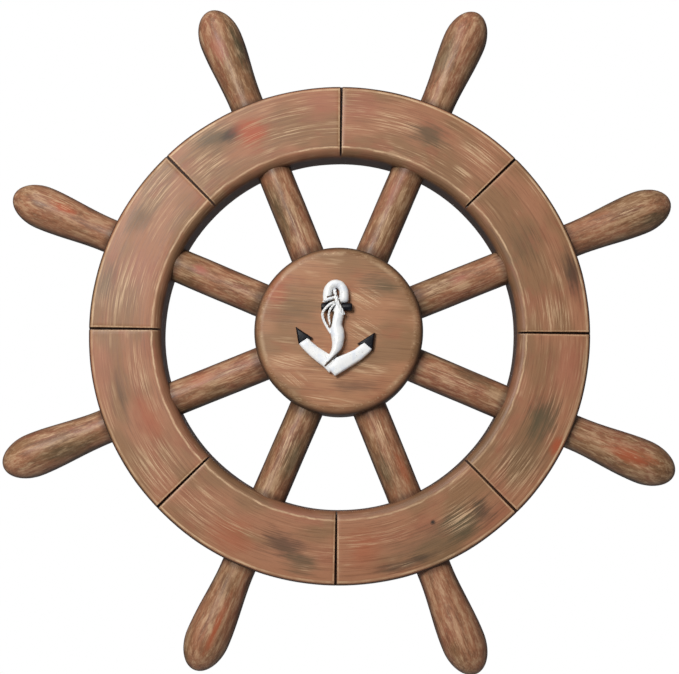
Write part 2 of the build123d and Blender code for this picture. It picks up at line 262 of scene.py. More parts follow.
class Value:
    """A number that varies over a surface. Arithmetic on it adds Math nodes."""

    def __init__(self, board: "Board", socket: bpy.types.NodeSocket) -> None:
        """Wraps a node's output socket.

        Args:
            board: The material's board.
            socket: The output that holds the number.
        """
        self.board = board
        self.socket = socket

    def maths(self, operation: str, *others: "Value | float") -> "Value":
        """Puts this value and the others through one Math node."""
        node = self.board.node("ShaderNodeMath", {"operation": operation}, dict(enumerate((self, *others))))
        return Value(self.board, node.outputs[0])

    def __add__(self, other: "Value | float") -> "Value":
        """Adds."""
        return self.maths("ADD", other)

    __radd__ = __add__

    def __mul__(self, other: "Value | float") -> "Value":
        """Multiplies."""
        return self.maths("MULTIPLY", other)

    __rmul__ = __mul__

    def __sub__(self, other: "Value | float") -> "Value":
        """Subtracts the other."""
        return self.maths("SUBTRACT", other)

    def __rsub__(self, other: float) -> "Value":
        """Subtracts this from a number."""
        return self * -1.0 + other

    def __truediv__(self, other: "Value | float") -> "Value":
        """Divides by the other."""
        return self.maths("DIVIDE", other)

    def __abs__(self) -> "Value":
        """The size without the sign."""
        return self.maths("ABSOLUTE")

    def __pow__(self, other: "Value | float") -> "Value":
        """Raises to a power."""
        return self.maths("POWER", other)

    def peak(self, other: "Value | float") -> "Value":
        """The larger of the two."""
        return self.maths("MAXIMUM", other)

    def least(self, other: "Value | float") -> "Value":
        """The smaller of the two."""
        return self.maths("MINIMUM", other)

    def step(self, low: float, high: float) -> "Value":
        """A smooth step from 0 at low to 1 at high. It falls instead where low is above high."""
        sockets = {"Value": self, "From Min": low, "From Max": high}
        node = self.board.node("ShaderNodeMapRange", {"interpolation_type": "SMOOTHSTEP"}, sockets)
        return Value(self.board, node.outputs["Result"])


class Board:
    """One material's node tree."""

    def __init__(self, name: str) -> None:
        """Starts a material that holds one shader.

        Args:
            name: The material's name.
        """
        self.material = bpy.data.materials.new(name)
        self.material.use_nodes = True
        self.tree = self.material.node_tree
        self.shader = self.tree.nodes["Principled BSDF"]

    def node(self, kind: str, settings: dict[str, object], sockets: dict[object, object]) -> bpy.types.Node:
        """Adds any node.

        Args:
            kind: The node's type.
            settings: Its settings by name, set before its sockets.
            sockets: Values, links or colours by input name or number.

        Returns:
            The node.
        """
        made = self.tree.nodes.new(kind)
        for key, value in settings.items():
            setattr(made, key, value)
        for key, value in sockets.items():
            self.feed(made.inputs[key], value)
        return made

    def feed(self, target: bpy.types.NodeSocket, value: object) -> None:
        """Sets an input, or links it where the value is a Value or an output socket."""
        if isinstance(value, Value):
            value = value.socket
        if isinstance(value, bpy.types.NodeSocket):
            self.tree.links.new(value, target)
        elif isinstance(value, tuple) and len(value) == 3 and target.type == "RGBA":
            target.default_value = (*value, 1.0)
        else:
            target.default_value = value

    def coordinates(self, turn: float, depth: float) -> tuple[Value, Value, Value]:
        """The place on the piece, with X along the direction that points outwards at an angle.

        Args:
            turn: That angle, in degrees, anticlockwise from +X seen from the front.
            depth: The Y that counts as zero.

        Returns:
            Along, depth and across, in metres.
        """
        place = self.node("ShaderNodeTexCoord", {}, {}).outputs["Object"]
        sockets = {
            "Vector": place,
            "Location": (0.0, -depth, 0.0),
            "Rotation": (0.0, math.radians(turn), 0.0),
        }
        mapped = self.node("ShaderNodeMapping", {"vector_type": "POINT"}, sockets).outputs[0]
        split = self.node("ShaderNodeSeparateXYZ", {}, {0: mapped})
        return tuple(Value(self, split.outputs[k]) for k in range(3))

    def vector(self, x: "Value | float", y: "Value | float", z: "Value | float") -> bpy.types.NodeSocket:
        """Joins three numbers into a vector."""
        return self.node("ShaderNodeCombineXYZ", {}, {0: x, 1: y, 2: z}).outputs[0]

    def noise(
        self, place: bpy.types.NodeSocket, scale: float, detail: float = 2, rough: float = 0.5
    ) -> Value:
        """A cloudy noise.

        Args:
            place: The vector it is read at.
            scale: How many blotches go into a metre, or into one unit of the vector.
            detail: How many finer noises are laid over it.
            rough: How strong those are.

        Returns:
            The noise, mostly between 0.3 and 0.7.
        """
        sockets = {"Vector": place, "Scale": scale, "Detail": detail, "Roughness": rough}
        return Value(self, self.node("ShaderNodeTexNoise", {}, sockets).outputs["Fac"])

    def mix(self, share: "Value | float", first: object, second: object) -> bpy.types.NodeSocket:
        """Goes from the first colour to the second as the share goes from 0 to 1."""
        made = self.tree.nodes.new("ShaderNodeMix")
        made.data_type = "RGBA"
        made.clamp_factor = True
        for number, value in ((0, share), (6, first), (7, second)):
            self.feed(made.inputs[number], value)
        return made.outputs[2]

    def relief(self, height: Value, strength: float, distance: float) -> None:
        """Gives the surface a fine relief from a height."""
        sockets = {"Height": height, "Strength": strength, "Distance": distance}
        self.feed(self.shader.inputs["Normal"], self.node("ShaderNodeBump", {}, sockets).outputs[0])


# ---------------------------------------------------------------- finishes


class Stain(Enum):
    """The colours that show through the brown paint."""

    RED = srgb(178, 86, 52)
    PINK = srgb(176, 104, 84)
    GREEN = srgb(84, 78, 56)
    BLACK = srgb(50, 43, 36)
    PALE = srgb(226, 192, 158)


@dataclass(frozen=True)
class Patch:
    """One brushed patch of a stain: its middle and its half sizes on the piece, in millimetres.

    The slope turns a pale patch's streaks, in degrees from the brush strokes.
    """

    stain: Stain
    along: float
    across: float
    length: float
    width: float
    strength: float = 0.8
    slope: float = 0.0


class Grain(Enum):
    """Which way the brush went."""

    ROUND = "along the rim's curve"
    LENGTHWISE = "along the spoke"
    LEVEL = "across the hub"


@dataclass(frozen=True)
class Spot:
    """A place on a painted piece, in metres: along the brush strokes, across them and front to back."""

    along: Value
    across: Value
    depth: Value
    seed: float

    def noise(self, length: float, width: float, detail: float = 2, rough: float = 0.5) -> Value:
        """A noise that is drawn out along the strokes.

        Args:
            length: The length of one blotch.
            width: Its width, across the strokes and front to back.
            detail: How many finer noises are laid over it.
            rough: How strong those are.

        Returns:
            The noise, mostly between 0.3 and 0.7.
        """
        board = self.along.board
        place = board.vector(self.along / length + 7.31 * self.seed, self.across / width, self.depth / width)
        return board.noise(place, 1.0, detail, rough)

    def sloped(self, degrees: float) -> "Spot":
        """The same place, measured along strokes that slope by an angle."""
        cos, sin = math.cos(math.radians(degrees)), math.sin(math.radians(degrees))
        along = self.along * cos + self.across * sin
        return Spot(along, self.across * cos - self.along * sin, self.depth, self.seed)

    def nearness(self, patch: Patch) -> Value:
        """How far out in a patch this place is: 0 in its middle, 1 on its edge."""
        along = (self.along - patch.along * MM) / (patch.length * MM)
        across = (self.across - patch.across * MM) / (patch.width * MM)
        return (along * along + across * across) ** 0.5


@dataclass(frozen=True)
class WornPaint:
    """Brown paint brushed over wood, scuffed through in streaks and on the arrises, with a painted highlight
    along the arrises and painted shade where a piece turns from the light.
    """

    grain: Grain
    base: Colour = srgb(174, 120, 88)
    rosy: Colour = srgb(164, 102, 75)
    olive: Colour = srgb(142, 108, 74)
    shade: Colour = srgb(100, 68, 47)
    # Painted shade: the dark colour laid where a piece turns from the light.
    shade_and_dirt: Colour = srgb(34, 28, 26)
    pale: Colour = srgb(226, 190, 150)
    deep: Colour = srgb(62, 38, 25)
    streak_length: float = 24 * MM
    streak_width: float = 0.8 * MM
    mottle: float = 0.0
    roughness: float = 0.46
    gloss: float = 0.3
    varnish: float = 0.05
    varnish_roughness: float = 0.2

    def dress(
        self,
        name: str,
        turn: float,
        depth: float,
        seed: float,
        patches: Iterable[Patch] = (),
        wear_and_highlight: Callable[[Spot], Value] | None = None,
        painted_shade: Callable[[Spot], Value] | None = None,
        sunk: Callable[[Spot], Value] | None = None,
    ) -> bpy.types.Material:
        """Makes the paint for one piece.

        Args:
            name: The material's name.
            turn: The angle that the piece's length points to.
            depth: The Y of the piece's middle.
            seed: Sets its streaks apart from its neighbours'.
            patches: The stains, given one by one.
            wear_and_highlight: Gives the share painted pale at a spot, for wear and for a painted highlight.
            painted_shade: Gives the share of painted shade at a spot.
            sunk: Gives the share that is dark and bare, as in a saw kerf.

        Returns:
            The material.
        """
        board = Board(name)
        spot = self.spot(board, turn, depth, seed)
        strokes = spot.noise(self.streak_length, self.streak_width, 3, 0.6)
        hairs = spot.noise(0.5 * self.streak_length, 0.4 * MM)
        patches = list(patches)
        colour = self.ground(board, spot, strokes, hairs)
        colour = self.stained(board, spot, strokes, colour, patches)
        # Pale paint: dry streaks, patches and wear, with a painted highlight along the arrises.
        colour = board.mix(self.pale_share(spot, strokes, hairs, patches, wear_and_highlight), colour, self.pale)
        # Painted shade over the sides, walls and back.
        if painted_shade is not None:
            colour = board.mix(painted_shade(spot), colour, self.shade_and_dirt)
        if sunk is not None:
            colour = board.mix(sunk(spot), colour, self.deep)
        board.feed(board.shader.inputs["Base Color"], colour)
        board.feed(board.shader.inputs["Roughness"], strokes * 0.35 + (self.roughness - 0.17))
        board.shader.inputs["Specular IOR Level"].default_value = self.gloss
        board.shader.inputs["Coat Weight"].default_value = self.varnish
        board.shader.inputs["Coat Roughness"].default_value = self.varnish_roughness
        board.relief(strokes * 0.6 + hairs * 0.4, 0.4, 0.3 * MM)
        return board.material

    def spot(self, board: Board, turn: float, depth: float, seed: float) -> Spot:
        """The place on the piece, measured the way the brush went.

        Args:
            board: The material's board.
            turn: The angle that the piece's length points to.
            depth: The Y of the piece's middle.
            seed: The piece's own number.

        Returns:
            The spot.
        """
        x, y, z = board.coordinates(turn, depth)
        if self.grain is Grain.ROUND:
            return Spot(z.maths("ARCTAN2", x) * RIM_MIDDLE, (x * x + z * z) ** 0.5, y, seed)
        return Spot(x, z, y, seed)

    def ground(self, board: Board, spot: Spot, strokes: Value, hairs: Value) -> bpy.types.NodeSocket:
        """The brown itself: clouds of olive and red brown, with darker brush strokes. Returns its colour."""
        drift = spot.noise(46 * MM, 22 * MM)
        cloud = spot.noise(30 * MM, 14 * MM, 3, 0.6)
        colour = board.mix(drift.step(0.42, 0.62) * 0.7, self.base, self.olive)
        colour = board.mix(cloud.step(0.5, 0.68) * 0.6, colour, self.rosy)
        colour = board.mix(strokes.step(0.5, 0.32) * 0.3, colour, self.shade)
        colour = board.mix(hairs.step(0.46, 0.3) * 0.22, colour, self.shade)
        if self.mottle:
            blots = spot.noise(16 * MM, 3.2 * MM, 4, 0.6)
            specks = spot.noise(3.4 * MM, 1.1 * MM, 3, 0.7)
            colour = board.mix(blots.step(0.5, 0.36) * self.mottle, colour, self.shade)
            light = blots.step(0.5, 0.64) * 0.7 + specks.step(0.5, 0.66) * 0.5
            colour = board.mix(light * self.mottle, colour, self.pale)
        return colour

    @staticmethod
    def stained(
        board: Board, spot: Spot, strokes: Value, colour: bpy.types.NodeSocket, patches: list[Patch]
    ) -> bpy.types.NodeSocket:
        """Brushes on every patch that isn't pale.

        Args:
            board: The material's board.
            spot: The place on the piece.
            strokes: The brush strokes, which break up a patch.
            colour: The colour so far.
            patches: All of the piece's patches.

        Returns:
            The colour with the stains.
        """
        wander = (spot.noise(16 * MM, 7 * MM, 3, 0.6) - 0.5) * 1.5 + (strokes - 0.5) * 1.3
        for patch in patches:
            if patch.stain is not Stain.PALE:
                share = (spot.nearness(patch) + wander).step(1.25, 0.1) * patch.strength
                colour = board.mix(share, colour, patch.stain.value)
        return colour

    def pale_share(
        self,
        spot: Spot,
        strokes: Value,
        hairs: Value,
        patches: list[Patch],
        wear_and_highlight: Callable[[Spot], Value] | None,
    ) -> Value:
        """The share that is painted pale: dry streaks where the brush lifted, and the arrises, which are
        partly scuffed and partly a painted highlight.

        Args:
            spot: The place on the piece.
            strokes: The brush strokes.
            hairs: The marks of single bristles.
            patches: All of the piece's patches.
            wear_and_highlight: Gives the share painted pale for wear and for a painted highlight.

        Returns:
            The share.
        """
        bristles = hairs.step(0.38, 0.6) * 0.7 + 0.3
        share = strokes.step(0.5, 0.64) * bristles * spot.noise(26 * MM, 11 * MM).step(0.48, 0.64) * 0.5
        for patch in patches:
            if patch.stain is Stain.PALE:
                lifted = strokes
                if patch.slope:
                    length, width = 0.7 * self.streak_length, 1.1 * self.streak_width
                    lifted = spot.sloped(patch.slope).noise(length, width, 2, 0.6)
                where = spot.nearness(patch).step(1.3, 0.4) * patch.strength
                share = share.peak(lifted.step(0.48, 0.62) * bristles * where)
        if wear_and_highlight is not None:
            share = share.peak(wear_and_highlight(spot))
        return share


@dataclass(frozen=True)
class ShadeLine:
    """A line of painted shade on the anchor's front, where one part meets another: its two ends and its
    width, in metres.
    """

    start: Point
    end: Point
    width: float = 0.7 * MM


@dataclass(frozen=True)
class CastPaint:
    """Semi-gloss paint on a small casting, with dark dirt specks and painted shade along given lines where
    its parts meet.
    """

    colour: Colour
    cast: Colour
    # The colour of the dirt specks and of the painted shade.
    shade_and_dirt: Colour
    roughness: float = 0.3
    gloss: float = 0.5
    shade_lines: tuple[ShadeLine, ...] = ()

    def dress(self, name: str) -> bpy.types.Material:
        """Makes the paint. Returns the material."""
        board = Board(name)
        x, y, z = board.coordinates(0, 0)
        place = board.vector(x, y, z)
        cloud = board.noise(place, 260.0, 3)
        colour = board.mix(cloud.step(0.45, 0.68) * 0.7, self.colour, self.cast)
        # Dirt specks at random, then painted shade along the lines where the parts meet.
        dirt_and_shade_share = board.noise(place, 700.0, 3, 0.6).step(0.62, 0.74) * 0.4
        for shade_line in self.shade_lines:
            dirt_and_shade_share = dirt_and_shade_share.peak(self.shade_line_share(x, z, cloud, shade_line))
        board.feed(board.shader.inputs["Base Color"], board.mix(dirt_and_shade_share, colour, self.shade_and_dirt))
        board.feed(board.shader.inputs["Roughness"], cloud * 0.25 + (self.roughness - 0.12))
        board.shader.inputs["Specular IOR Level"].default_value = self.gloss
        board.relief(board.noise(place, 500.0, 3), 0.3, 0.2 * MM)
        return board.material

    @staticmethod
    def shade_line_share(x: Value, z: Value, cloud: Value, shade_line: ShadeLine) -> Value:
        """How far into a line of painted shade a place is.

        Args:
            x: The place's X.
            z: The place's Z.
            cloud: A noise that makes the line's edge uneven.
            shade_line: The line of painted shade.

        Returns:
            0 outside the line, 1 in its middle.
        """
        run = (shade_line.end[0] - shade_line.start[0], shade_line.end[1] - shade_line.start[1])
        length = math.hypot(*run)
        unit = (run[0] / length, run[1] / length)
        dx, dz = x - shade_line.start[0], z - shade_line.start[1]
        along = (dx * unit[0] + dz * unit[1]).peak(0.0).least(length)
        gap = ((dx - along * unit[0]) ** 2 + (dz - along * unit[1]) ** 2) ** 0.5
        return (gap + (cloud - 0.5) * shade_line.width).step(shade_line.width, 0.3 * shade_line.width)


@dataclass(frozen=True)
class Metal:
    """Turned or plated metal with fine rings and a little tarnish."""

    colour: Colour
    tarnish: Colour
    roughness: float
    metallic: float = 1.0

    def dress(self, name: str) -> bpy.types.Material:
        """Makes the metal. Returns the material."""
        board = Board(name)
        x, y, z = board.coordinates(0, 0)
        radius = (x * x + z * z) ** 0.5
        rings = board.noise(board.vector(radius * 3000.0, y * 3000.0, 0.0), 1.0, 2)
        cloud = board.noise(board.vector(x, y, z), 120.0, 4, 0.6)
        colour = board.mix(cloud.step(0.5, 0.75) * 0.6, self.colour, self.tarnish)
        board.feed(board.shader.inputs["Base Color"], colour)
        board.feed(board.shader.inputs["Roughness"], cloud * 0.2 + rings * 0.12 + (self.roughness - 0.16))
        board.shader.inputs["Metallic"].default_value = self.metallic
        board.relief(rings, 0.12, 0.05 * MM)
        return board.material


# ---------------------------------------------------------------- the wheel


@dataclass
class Rim:
    """The ring of eight felloes.

    The joint overlap is in degrees, and keeps light from showing between two felloes.
    """

    middle_y: float
    outer: float = RIM_OUTER
    width: float = RIM_WIDTH
    depth: float = 28 * MM
    outer_round: float = 3 * MM
    inner_round: float = 5.5 * MM
    kerf_width: float = 1.3 * MM
    kerf_depth: float = 3.2 * MM
    joint_overlap: float = 0.01
    spin_steps: int = 36
    finish: WornPaint = WornPaint(Grain.ROUND)
    patches: dict[int, list[Patch]] = field(default_factory=dict)

    @property
    def inner(self) -> float:
        """The radius of the opening."""
        return self.outer - self.width

    @property
    def middle(self) -> float:
        """The radius half way across the rim."""
        return self.outer - self.width / 2

    def model(self) -> bpy.types.Object:
        """Models one felloe, centred on +X. Returns it."""
        front = self.middle_y - self.depth / 2
        bench = Bench("felloe")
        centre = (self.middle, self.middle_y, 0)
        bpy.ops.mesh.primitive_plane_add(size=1, location=centre)
        piece = bench.take()
        bench.resize((self.width, self.depth, 1), centre)
        bench.pick(Pick.VERTS, lambda v: v.co.x > self.middle)
        bpy.ops.mesh.bevel(offset=self.outer_round, segments=5, affect="VERTICES")
        bench.pick(Pick.VERTS, lambda v: v.co.x < self.inner + MM)
        bpy.ops.mesh.bevel(offset=self.inner_round, segments=7, affect="VERTICES")
        for share in (0.25, 0.5, 0.75):
            self.cut((self.inner + share * self.width, 0, 0), (1, 0, 0))
        for share in (0.35, 0.65):
            self.cut((0, front + share * self.depth, 0), (0, 1, 0))
        self.cut((0, front + self.kerf_depth, 0), (0, 1, 0))
        kerf_half = math.degrees(self.kerf_width / 2 / self.middle)
        reach = PITCH / 2 - kerf_half
        meet = kerf_half + self.joint_overlap
        bpy.ops.mesh.select_all(action="SELECT")
        bench.turn(-reach)
        sweep = math.radians(2 * reach)
        bpy.ops.mesh.spin(steps=self.spin_steps, angle=sweep, center=(0, 0, 0), axis=(0, 1, 0))
        for side in (-1, 1):
            bench.pick(Pick.FACES, lambda f: self.is_end(f, side) and self.behind_kerf(f, front))
            bench.extrude((0, 0, 0))
            bench.turn(side * meet)
        bench.soften(0.3 * MM)
        return piece

    def cut(self, point: Sequence[float], normal: Sequence[float]) -> None:
        """Cuts an edge right across the section, so that the faces stay small."""
        bpy.ops.mesh.select_all(action="SELECT")
        bpy.ops.mesh.bisect(plane_co=point, plane_no=normal)

    @staticmethod
    def is_end(face: bmesh.types.BMFace, side: int) -> bool:
        """Whether a face is on the felloe's end at one side."""
        centre = face.calc_center_median()
        tangent = Vector((-centre.z, 0, centre.x)).normalized()
        return face.normal.dot(tangent) * side > 0.9

    def behind_kerf(self, face: bmesh.types.BMFace, front: float) -> bool:
        """Whether a face lies behind the saw kerf."""
        return min(v.co.y for v in face.verts) > front + self.kerf_depth - 0.1 * MM

    def wear_and_highlight(self, spot: Spot) -> Value:
        """The arrises of the front, painted pale in a thin uneven line: partly brown scuffed off, partly a
        painted highlight along the edges.
        """
        drift = (spot.noise(9 * MM, 9 * MM, 3) - 0.5) * (2.4 * MM)
        rough = spot.noise(7 * MM, 1.6 * MM, 3, 0.6)
        outer = abs(spot.across - (self.outer - 0.8 * self.outer_round)).step(0.9 * MM, 0.25 * MM)
        inner = abs(spot.across + 0.7 * drift - (self.inner + self.inner_round)).step(0.9 * MM, 0.1 * MM)
        front = spot.depth.step(-self.depth / 2 + 2.2 * MM, -self.depth / 2 + 1.0 * MM)
        ends = abs(abs(spot.along) - (self.end_reach - 1.3 * MM)).step(0.6 * MM, 0.1 * MM) * 0.8
        line = outer.peak(inner).peak(ends)
        bare = spot.noise(34 * MM, 34 * MM).step(0.38, 0.62) * 0.5 + 0.4
        return line * front * bare * (rough.step(0.34, 0.6) * 0.6 + 0.4)

    def painted_shade(self, spot: Spot) -> Value:
        """Painted shade on the inner wall, deeper towards the back, and a dark painted line along the front
        of the outer edge; the felloe is also a little darker at the back.
        """
        uneven = (spot.noise(12 * MM, 8 * MM, 3) - 0.5) * (6 * MM)
        depth = spot.depth + uneven
        front = -self.depth / 2
        fold = self.inner + 0.8 * self.inner_round
        inner = (spot.across + 0.12 * uneven - fold).step(1.2 * MM, -1.8 * MM)
        inner = inner * (depth.step(front + 1.0 * MM, front + 9 * MM) * 0.5 + 0.3)
        outer = (spot.across - self.outer).step(-1.9 * MM, -0.8 * MM)
        outer = outer * (spot.depth + 0.15 * uneven).step(front - 0.4 * MM, front + 1.2 * MM) * 0.85
        outer = outer * (1 - depth.step(front + 3 * MM, front + 8 * MM) * 0.5)
        return inner.peak(outer) + depth.step(self.depth / 2 - 6 * MM, self.depth / 2 + 3 * MM) * 0.12

    @property
    def end_reach(self) -> float:
        """Half the felloe's length round its middle."""
        return math.radians(PITCH / 2) * self.middle

    def sunk(self, spot: Spot) -> Value:
        """The kerf's dark walls and floor."""
        wall = self.end_reach - self.kerf_width / 2
        near = abs(spot.along).step(wall - 0.15 * MM, wall)
        floor = -self.depth / 2 + self.kerf_depth
        return near * spot.depth.step(floor + 0.4 * MM, floor)

    def build(self) -> None:
        """Models the felloes, paints each one and sets them down."""
        first = self.model()
        for number, angle in enumerate(SPOKE_ANGLES, 1):
            node = f"felloe_{number}"
            piece = copy_turned(first, f"worn_{node}", angle)
            bench = Bench.reopen(piece)
            bench.waver(0.22 * MM, 34 * MM)
            bench.finish()
            paint = self.finish.dress(
                f"paint_{node}", angle, self.middle_y, number, self.patches.get(number, ()),
                self.wear_and_highlight, self.painted_shade, self.sunk,
            )
            piece.data.materials.append(paint)
            set_down(piece, WHEEL_BODY, "rim_wood", node)
        bpy.data.objects.remove(first)


@dataclass
class Spokes:
    """The eight turned spokes, each with its handle."""

    middle_y: float
    root: float = 31 * MM
    radius: float = 11 * MM
    neck: float = 161.5 * MM
    tip: float = 228.3 * MM
    grip_radius: float = 13.9 * MM
    dome: float = 21.6 * MM
    sides: int = 40
    straight_steps: int = 16
    swell_steps: int = 12
    dome_steps: int = 14
    dome_turn: float = 90 * 14 / 14.3
    finish: WornPaint = WornPaint(
        Grain.LENGTHWISE,
        base=srgb(168, 113, 82),
        rosy=srgb(152, 90, 68),
        olive=srgb(138, 104, 70),
        streak_length=16 * MM,
        streak_width=0.9 * MM,
        mottle=0.45,
    )
    patches: dict[int, list[Patch]] = field(default_factory=dict)

    def profile(self) -> list[tuple[float, float]]:
        """The stations along the spoke, from its root to its tip, each with its radius."""
        peak = self.tip - self.dome
        straight, steps = self.neck - self.root, self.straight_steps
        stations = [(self.root + straight * k / steps, self.radius) for k in range(steps + 1)]
        for k in range(1, self.swell_steps + 1):
            share = k / self.swell_steps
            swell = share * share * (3 - 2 * share)
            radius = self.radius + (self.grip_radius - self.radius) * swell
            stations.append((self.neck + (peak - self.neck) * share, radius))
        for k in range(1, self.dome_steps + 1):
            angle = math.radians(self.dome_turn * k / self.dome_steps)
            stations.append((peak + self.dome * math.sin(angle), self.grip_radius * math.cos(angle)))
        return stations

    def model(self) -> bpy.types.Object:
        """Turns one spoke, lying along +X. Returns it."""
        stations = self.profile()
        start, first = stations[0], stations[1]
        bench = Bench("spoke")
        bpy.ops.mesh.primitive_cylinder_add(
            vertices=self.sides, radius=start[1], depth=first[0] - start[0],
            location=((start[0] + first[0]) / 2, self.middle_y, 0), rotation=(0, math.radians(90), 0),
        )
        piece = bench.take()
        bench.pick(Pick.FACES, lambda f: f.normal.x > 0.9)
        for before, here in zip(stations[1:], stations[2:]):
            bench.extrude((here[0] - before[0], 0, 0))
            ratio = here[1] / before[1]
            bench.resize((1, ratio, ratio), (here[0], self.middle_y, 0))
        Bench.clear()
        return piece

    def wear_and_highlight(self, spot: Spot) -> Value:
        """The paint scuffed thin in pale patches, more on the grip, and only on the front half, which makes
        it partly a painted highlight down the front.
        """
        grip = spot.along.step(self.neck, self.neck + 30 * MM)
        patchy = spot.noise(17 * MM, 4 * MM, 4, 0.65)
        return patchy.step(0.55, 0.72) * (grip * 0.25 + 0.3) * spot.depth.step(2 * MM, -5 * MM)

    def painted_shade(self, spot: Spot) -> Value:
        """Painted shade down the sides and over the back, where the round spoke turns from the light, and
        round the spoke where it meets the hub and the rim.
        """
        uneven = (spot.noise(12 * MM, 5 * MM, 3, 0.6) - 0.5) * (7 * MM)
        sides = (spot.depth + 0.5 * uneven).step(-8.6 * MM, -1.6 * MM) * 0.84
        sides = sides * (1 - spot.depth.step(0.5 * MM, 5 * MM) * 0.6)
        joints = spot.along.step(60 * MM, 54 * MM)
        rim = abs(spot.along - RIM_MIDDLE).step(0.5 * RIM_WIDTH + 5 * MM, 0.5 * RIM_WIDTH)
        return sides.peak(joints.peak(rim) * 0.5)

    def build(self) -> None:
        """Models the spokes, paints each one and sets them down."""
        first = self.model()
        for number, angle in enumerate(SPOKE_ANGLES, 1):
            node = f"spoke_{number}"
            piece = copy_turned(first, f"worn_{node}", angle)
            bench = Bench.reopen(piece)
            bench.waver(0.18 * MM, 30 * MM)
            bench.finish(50)
            paint = self.finish.dress(
                f"paint_{node}", angle, self.middle_y, 20 + number, self.patches.get(number, ()),
                self.wear_and_highlight, self.painted_shade,
            )
            piece.data.materials.append(paint)
            set_down(piece, WHEEL_BODY, "spoke_wood", node)
        bpy.data.objects.remove(first)


@dataclass
class Hub:
    """The round hub."""

    front_y: float
    back_y: float
    radius: float = 53 * MM
    front_round: float = 6 * MM
    back_round: float = 3 * MM
    finish: WornPaint = WornPaint(
        Grain.LEVEL,
        base=srgb(180, 128, 92),
        rosy=srgb(168, 108, 76),
        streak_length=34 * MM,
        streak_width=0.8 * MM,
    )
    patches: tuple[Patch, ...] = ()

    def model(self) -> bpy.types.Object:
        """Turns the hub. Returns it."""
        bench = Bench("worn_hub")
        bpy.ops.mesh.primitive_cylinder_add(
            vertices=128, radius=self.radius, depth=self.back_y - self.front_y,
            location=(0, (self.front_y + self.back_y) / 2, 0), rotation=(math.radians(90), 0, 0),
        )
        piece = bench.take()
        bench.pick(Pick.EDGES, lambda e: all(abs(v.co.y - self.front_y) < 0.1 * MM for v in e.verts))
        bpy.ops.mesh.bevel(offset=self.front_round, segments=9)
        bench.pick(Pick.EDGES, lambda e: all(abs(v.co.y - self.back_y) < 0.1 * MM for v in e.verts))
        bpy.ops.mesh.bevel(offset=self.back_round, segments=5)
        bench.pick(Pick.FACES, lambda f: f.normal.y < -0.99 and len(f.verts) > 60)
        for _ in range(3):
            bpy.ops.mesh.inset(thickness=10 * MM, depth=0)
        bench.finish()
        return piece

    def wear_and_highlight(self, spot: Spot) -> Value:
        """The rounding of the front, painted pale in a soft ring here and there: partly scuffed paint with
        chips, partly a painted highlight.
        """
        drift = (spot.noise(14 * MM, 14 * MM) - 0.5) * (3 * MM)
        ring = abs(self.reach(spot) + drift - (self.radius - self.front_round + 1.5 * MM)).step(2.6 * MM, 0.0)
        bare = spot.noise(13 * MM, 13 * MM, 3).step(0.4, 0.62) * 0.4
        chips = spot.noise(2.5 * MM, 1.5 * MM, 3, 0.6).step(0.56, 0.64) * 0.4
        return ring * spot.depth.step(0.0, -1 * MM) * (bare + chips)

    def painted_shade(self, spot: Spot) -> Value:
        """Painted shade round the hub's side, where it turns from the light; the hub is also a little darker
        towards the back.
        """
        uneven = (spot.noise(16 * MM, 12 * MM, 3) - 0.5) * (5 * MM)
        depth = spot.depth + uneven
        reach = self.reach(spot) - self.radius
        side = reach.step(-2.8 * MM, -0.1 * MM) * 0.6 + reach.step(-8 * MM, -1 * MM) * 0.24
        return side + depth.step(0.4 * self.back_reach, self.back_reach) * 0.12

    @staticmethod
    def reach(spot: Spot) -> Value:
        """How far a spot is from the wheel's axis."""
        return (spot.along * spot.along + spot.across * spot.across) ** 0.5

    @property
    def back_reach(self) -> float:
        """Half the hub's thickness."""
        return (self.back_y - self.front_y) / 2

    def build(self) -> None:
        """Models, paints and sets down the hub."""
        piece = self.model()
        paint = self.finish.dress(
            "paint_hub", -4, (self.front_y + self.back_y) / 2, 40, self.patches, self.wear_and_highlight, self.painted_shade
        )
        piece.data.materials.append(paint)
        set_down(piece, WHEEL_BODY, "hub_wood", "hub")


@dataclass(frozen=True)
class Station:
    """One section of a cast limb, in millimetres: its middle on the hub's face, its width and its height."""

    x: float
    z: float
    width: float
    height: float

    @property
    def middle(self) -> Vector:
        """Its middle on the hub's face, in metres, at y = 0."""
        return Vector((self.x, 0, self.z)) * MM


@dataclass(frozen=True)
class Strand:
    """One strand of the anchor's rope, in millimetres: its thickness and its route.

    The route's points are given as x, z and height above the hub's face.
    """

    diameter: float
    route: tuple[tuple[float, float, float], ...]


